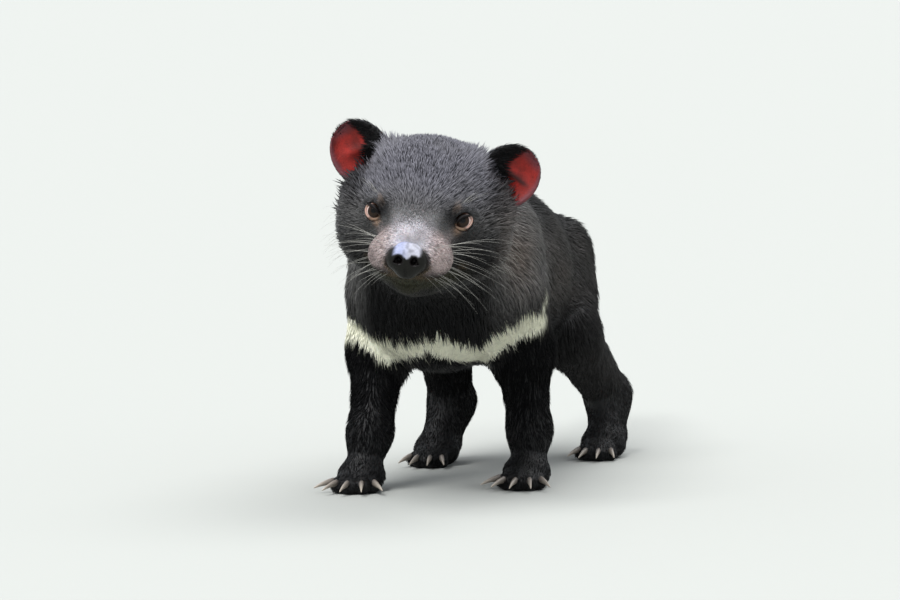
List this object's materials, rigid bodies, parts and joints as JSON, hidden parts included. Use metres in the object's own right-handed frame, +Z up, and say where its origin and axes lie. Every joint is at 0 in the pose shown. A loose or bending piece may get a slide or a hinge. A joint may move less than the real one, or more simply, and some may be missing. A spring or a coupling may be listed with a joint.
{
  "type": "tasmanian devil",
  "caption": "Life-size tasmanian devil standing on all feet and looking ahead, mouth closed, with round ears and a thick tail held out low.",
  "frame": {"origin": "on the ground under the middle of the whole animal's box", "axes": "+Z up, the animal looks along -Y, +X is the animal's own left side"},
  "size_m": [0.1816, 0.6968, 0.2775],
  "materials": {
    "coat": "black fur with a soft grey sheen",
    "nose": "moist black skin",
    "ear": "thin red skin inside, short black fur outside",
    "eye": "wet dark brown",
    "claw": "worn pale horn"
  },
  "bodies": {
    "root": {"trunk": "coat", "neck": "coat", "tail": "coat", "foreleg_left": "coat", "forefoot_left": "coat", "foreleg_right": "coat", "forefoot_right": "coat", "hindleg_left": "coat", "hindfoot_left": "coat", "hindleg_right": "coat", "hindfoot_right": "coat", "head": "coat", "lower_jaw": "coat", "claw_fore_left_1": "claw", "claw_fore_left_2": "claw", "claw_fore_left_3": "claw", "claw_fore_left_4": "claw", "claw_fore_left_5": "claw", "claw_fore_right_1": "claw", "claw_fore_right_2": "claw", "claw_fore_right_3": "claw", "claw_fore_right_4": "claw", "claw_fore_right_5": "claw", "claw_hind_left_1": "claw", "claw_hind_left_2": "claw", "claw_hind_left_3": "claw", "claw_hind_left_4": "claw", "claw_hind_right_1": "claw", "claw_hind_right_2": "claw", "claw_hind_right_3": "claw", "claw_hind_right_4": "claw", "eye_left": "eye", "eye_right": "eye", "nose": "nose", "ear_left": "ear", "ear_right": "ear"}
  },
  "joints": []
}
